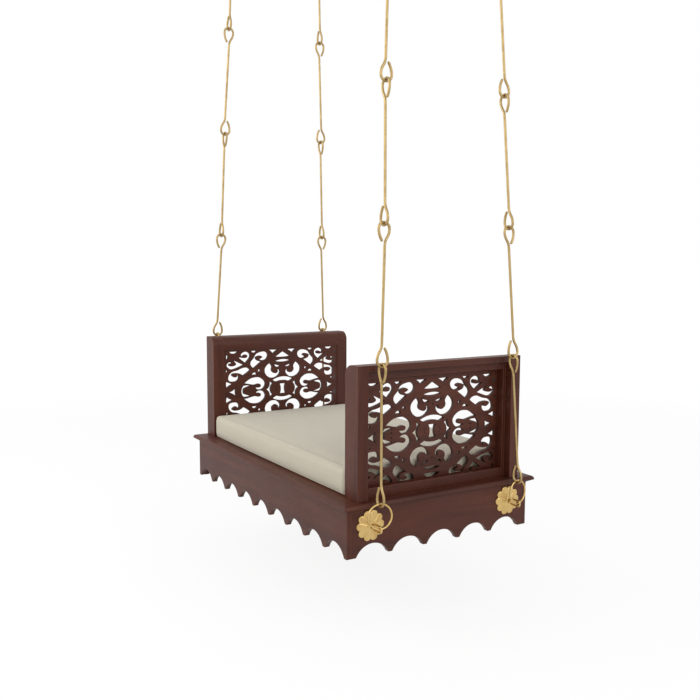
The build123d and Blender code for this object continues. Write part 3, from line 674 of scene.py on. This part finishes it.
def petal_reach(angle):
    """How far the flower reaches in a direction, with the angle from the petal's middle."""
    return PETAL_CENTRE * math.cos(angle) + math.sqrt(
        PETAL_ROUND ** 2 - (PETAL_CENTRE * math.sin(angle)) ** 2)


def petal_height(reach, angle):
    """Height of the pressed sheet over the apron."""
    height = CROWN - DOME + math.sqrt(DOME ** 2 - reach ** 2)
    grown_out = min(max((reach - CREASE_START) / (CREASE_FULL - CREASE_START), 0), 1)
    crease = bell(reach * math.sin(math.pi / PETALS - abs(angle)), CREASE_WIDTH)
    vein = bell(reach * math.sin(angle), VEIN_WIDTH) * bell(reach - VEIN_MIDDLE, VEIN_SPREAD)
    edge = PETAL_ROUND - math.hypot(reach * math.cos(angle) - PETAL_CENTRE, reach * math.sin(angle))
    near_rim = reach > PETAL_CENTRE * 0.9
    shoulder = max(1 - max(edge, 0) / SHOULDER_WIDTH, 0) ** 2 if near_rim else 0
    return height - CREASE_DEPTH * crease * grown_out - VEIN_DEPTH * vein - SHOULDER_DROP * shoulder


wedge = bmesh.new()
grid = []
for column in range(COLUMNS + 1):
    angle = (column / COLUMNS * 2 - 1) * math.pi / PETALS
    end = petal_reach(angle)
    line = list(COLLAR)
    for number in range(ROWS + 1):
        share = 1 - (1 - number / ROWS) ** 1.5      # rows lie closer together towards the rim
        reach = SHEET_START + (end - SHEET_START) * share
        line.append((reach, petal_height(reach, angle)))
    line += [(end, line[-1][1] * 0.5), (end, 0), (COLLAR[0][0], 0)]
    grid.append([wedge.verts.new((x, r * math.cos(angle), r * math.sin(angle))) for r, x in line])
for left, right in zip(grid, grid[1:]):
    for i in range(len(left)):
        wedge.faces.new((left[i - 1], left[i], right[i], right[i - 1]))
wedge_mesh = bpy.data.meshes.new("rosette_wedge")
wedge.to_mesh(wedge_mesh)
wedge.free()
print("a wedge has", len(wedge_mesh.polygons), "faces")

# %% Recipe for flowers at four corners
low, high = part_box("rosette_front_right")
centre = (low + high) / 2
flower = Recipe("four_rosettes", petals=PETALS, half_length=float(low.x), half_depth=float(-centre.y),
                height=float(centre.z), weld=0.00002)
turn = flower.node("GeometryNodeInputIndex") * (2 * math.pi) / flower.given("petals")
spots = flower.node("GeometryNodePoints", {}, {"Count": flower.given("petals")})
ring = flower.copies(spots, flower.given("Part"), flower.turned(x=turn))
ring = flower.node("GeometryNodeRealizeInstances", {}, {"Geometry": ring})
whole = flower.node("GeometryNodeMergeByDistance", {}, {
    "Geometry": ring, "Distance": flower.given("weld")})
corners = flower.node("GeometryNodeMeshGrid", {}, {
    "Size X": flower.given("half_length") * 2, "Size Y": flower.given("half_depth") * 2,
    "Vertices X": 2, "Vertices Y": 2})
lift = flower.node("ShaderNodeCombineXYZ", {}, {"Z": flower.given("height")})
raised = flower.node("GeometryNodeTransform", {}, {"Geometry": corners, "Translation": lift})
along = flower.parts(flower.node("GeometryNodeInputPosition"))[0]
flower.close(flower.copies(raised, whole, flower.turned(z=along.below(0) * math.pi)))
print("the flowers stand", round(-2 * centre.y, 3), "m apart on each end")

# %% Four rosettes
mesh = grown("petal_rosettes", wedge_mesh, flower, finish=BRASS)
add_piece(mesh.name, mesh, "seat", "brass", *[f"rosette_{row}_{side}" for row, side in CORNERS])
print("four rosettes have", len(mesh.polygons), "faces")

# %% [markdown]
# ## Rings, eyes, ceiling hooks and nuts
# These turned and bent pieces already have their true round shape in the CAD model, so they keep
# it and only take their metal. Pieces with sharp rims, such as nuts, bolt heads and the plates on
# the ceiling, are eased like the boards.

# %% Metal on the rest
for name, node in frame["nodes"].items():
    if name.startswith(("ring_", "eye_bolt")):
        for place in node.material_slots:
            place.material = BRASS
sanded("ceiling_hooks", BRASS, BRASS, "brass", width=0.0006)
for name in ("eye_nuts_and_washers", "panel_bolts"):
    sanded(name, STEEL, STEEL, "steel", width=0.0005)
print("rings and eyes keep their CAD shape")

# %% [markdown]
# ## The cushion
# The cushion is a boxed pad of cotton wadding. Cloth is alive: a box with rounded edges would
# look like plastic. So a slightly small copy of the pad is blown up by Blender's cloth solver
# with air pressure inside. The deck and the end panels stop it from growing. Air alone would
# draw the corners in, but wadding is packed into them, so no point may move inwards.

# %% Small copy of the pad
PAD_INSET = 0.002       # how much smaller the pad starts on each side
PAD_VOXEL = 0.0095      # size of its even mesh
PAD_CAP = 0.011         # the most that a point may move
PAD_END = 0.003         # room left at the end panels
half = (PAD_HIGH - PAD_LOW) / 2
work = joined_copy("cushion")
for vertex in work.verts:
    for axis in range(3):
        away = vertex.co[axis] - PAD_MIDDLE[axis]
        vertex.co[axis] = PAD_MIDDLE[axis] + away * (1 - PAD_INSET / half[axis])
cushion = add_piece("cotton_cushion", plain_mesh("cotton_cushion", work, [CANVAS]), "cushion",
                    "cushion_fabric", "cushion")
cushion.data.remesh_voxel_size = PAD_VOXEL
cushion.data.remesh_voxel_adaptivity = 0
bpy.context.view_layer.objects.active = cushion
bpy.ops.object.voxel_remesh()
rest_shape = [v.co.copy() for v in cushion.data.vertices]
outward = [v.normal.copy() for v in cushion.data.vertices]
print("pad starts with", len(rest_shape), "points")


# %% Blow it up
def blown_up(piece, pressure, frames):
    """Where the points of a closed cloth go under pressure."""
    cloth = piece.modifiers.new("wadding", "CLOTH")
    cloth.settings.quality = 5
    cloth.settings.mass = 0.3
    cloth.settings.use_pressure = True
    cloth.settings.uniform_pressure_force = pressure
    cloth.settings.effector_weights.gravity = 0
    for number in range(1, frames + 1):
        bpy.context.scene.frame_set(number)
    view = piece.evaluated_get(bpy.context.evaluated_depsgraph_get())
    moved = [v.co.copy() for v in view.data.vertices]
    piece.modifiers.remove(cloth)
    bpy.context.scene.frame_set(1)
    return moved


goals = blown_up(cushion, pressure=4, frames=20)
for vertex, start, out, goal in zip(cushion.data.vertices, rest_shape, outward, goals):
    step = goal - start
    step -= out * min(step.dot(out), 0)
    if step.length > PAD_CAP:
        step *= PAD_CAP / step.length
    spot = start + step
    spot.z = max(spot.z, PAD_LOW.z)
    spot.x = min(max(spot.x, PAD_LOW.x + PAD_END), PAD_HIGH.x - PAD_END)
    vertex.co = spot
cushion.data.shade_smooth()
smooth = cushion.modifiers.new("soft", "SUBSURF")
smooth.levels = smooth.render_levels = 1
print("cushion is", [round(d, 3) for d in cushion.dimensions], "m")

# %% [markdown]
# ## Welts
# The top, the border and the bottom of the cover are sewn together with a thin welt, a cord that
# is wrapped in the same canvas. It could be a rounded rectangle, but the pad is no longer quite
# straight after it was blown up. So a level cut through the finished pad gives the line of each
# seam, and a recipe lays a thin tube along it.

# %% Seam lines
bpy.context.view_layer.update()
work = bmesh.new()
work.from_object(cushion, bpy.context.evaluated_depsgraph_get())
for rise in (-SEAM_RISE, SEAM_RISE):
    bmesh.ops.bisect_plane(work, geom=[*work.verts, *work.edges, *work.faces], dist=1e-6,
                           plane_co=(0, 0, PAD_MIDDLE.z + rise), plane_no=(0, 0, 1))
cut = [edge for edge in work.edges
       if all(abs(abs(v.co.z - PAD_MIDDLE.z) - SEAM_RISE) < SAME_POINT for v in edge.verts)]
numbers = {}
for edge in cut:
    for vertex in edge.verts:
        numbers.setdefault(vertex, len(numbers))
seams = bpy.data.meshes.new("seam_lines")
seams.from_pydata([v.co.copy() for v in numbers], [[numbers[v] for v in edge.verts] for edge in cut], [])
work.free()
print("the seams follow", len(cut), "edges")

# %% Recipe for a welt
welt = Recipe("welt", radius=0.0014, sides=10, spacing=0.009)
line = welt.node("GeometryNodeMeshToCurve", {}, {"Mesh": welt.given("Part")})
even = welt.node("GeometryNodeResampleCurve", {"mode": "LENGTH"}, {
    "Curve": line, "Length": welt.given("spacing")})
section = welt.node("GeometryNodeCurvePrimitiveCircle", {}, {
    "Resolution": welt.given("sides"), "Radius": welt.given("radius")})
welt.close(welt.node("GeometryNodeCurveToMesh", {}, {"Curve": even, "Profile Curve": section}))
mesh = grown("cushion_welts", seams, welt, finish=CANVAS)
add_piece(mesh.name, mesh, "cushion", "cushion_fabric")
print("two welts have", len(mesh.polygons), "faces")

# %% [markdown]
# ## Floor and light
# A plain white studio. The floor could be lit until it is white, but then the wood would wash
# out. So camera rays and mirror rays see a white sky and a white floor, which still takes a little
# real shade near the swing, and the light on the swing stays at a plain level.


# %% Floor
def studio_rays(bench):
    """1 for rays that see the white studio, 0 for the rays that carry light to the swing."""
    rays = bench.node("ShaderNodeLightPath").socket.node.outputs
    seen, mirrored, through = [Wire(bench, rays[f"Is {kind} Ray"])
                               for kind in ("Camera", "Glossy", "Transmission")]
    return seen + mirrored + through


WHITE = (1, 1, 1, 1)
FLOOR, FLOOR_REACH = -2.907, 40         # height, and distance to the floor's edges
SHADED = 0.18                           # share of real shade in the floor near the swing
SHADE_NEAR, SHADE_FAR = 4, 10           # the shade fades out between these distances

ends = (-FLOOR_REACH, FLOOR_REACH)
floor_mesh = bpy.data.meshes.new("studio_floor")
floor_mesh.from_pydata([(x, y, FLOOR) for y in ends for x in ends], [], [(0, 1, 3, 2)])
bench = Finish("studio_white")
away = bench.node("ShaderNodeVectorMath", {"operation": "LENGTH"}, {0: bench.place()}, output=1)
clear = away.ease(SHADE_NEAR, SHADE_FAR) * SHADED + (1 - SHADED)
paint = bench.node("ShaderNodeBsdfDiffuse", {}, {"Color": (0.85, 0.85, 0.85, 1)})
glow = bench.node("ShaderNodeEmission", {}, {"Color": WHITE, "Strength": 1.06})
both = bench.node("ShaderNodeMixShader", {}, {0: studio_rays(bench) * clear, 1: paint, 2: glow})
bench.node("ShaderNodeOutputMaterial", {}, {"Surface": both})
floor_mesh.materials.append(bench.material)
in_scene("studio_floor", floor_mesh)
print("floor", FLOOR, "m from the ceiling")


# %% Sky and lamps
SKY_LIGHT, SKY_SEEN = 0.62, 1.0
SEAT_MIDDLE = Vector((0, 0, -2.3))

world = bpy.data.worlds.new("studio")
bpy.context.scene.world = world
world.use_nodes = True
bench = Bench(world.node_tree)
bench.tree.nodes.clear()
soft, white = [bench.node("ShaderNodeBackground", {}, {"Color": WHITE, "Strength": strength})
               for strength in (SKY_LIGHT, SKY_SEEN)]
both = bench.node("ShaderNodeMixShader", {}, {0: studio_rays(bench), 1: soft, 2: white})
bench.node("ShaderNodeOutputWorld", {}, {"Surface": both})


def softbox(name, spot, size, watts):
    """A square lamp that faces the seat."""
    light = bpy.data.lights.new(name, "AREA")
    light.size = size
    light.energy = watts
    holder = in_scene(name, light)
    holder.location = spot
    holder.rotation_euler = (SEAT_MIDDLE - Vector(spot)).to_track_quat("-Z", "Y").to_euler()
    print(name, "gives", watts, "W")


softbox("front_softbox", (-1.2, -4.2, 0.2), size=3.0, watts=85)
softbox("right_softbox", (4.5, 0.8, 0.0), size=2.5, watts=40)

# %% [markdown]
# ## Close
# The view transform is Standard, so a colour renders about as it is written.

# %% View transform
bpy.context.scene.view_settings.view_transform = "Standard"
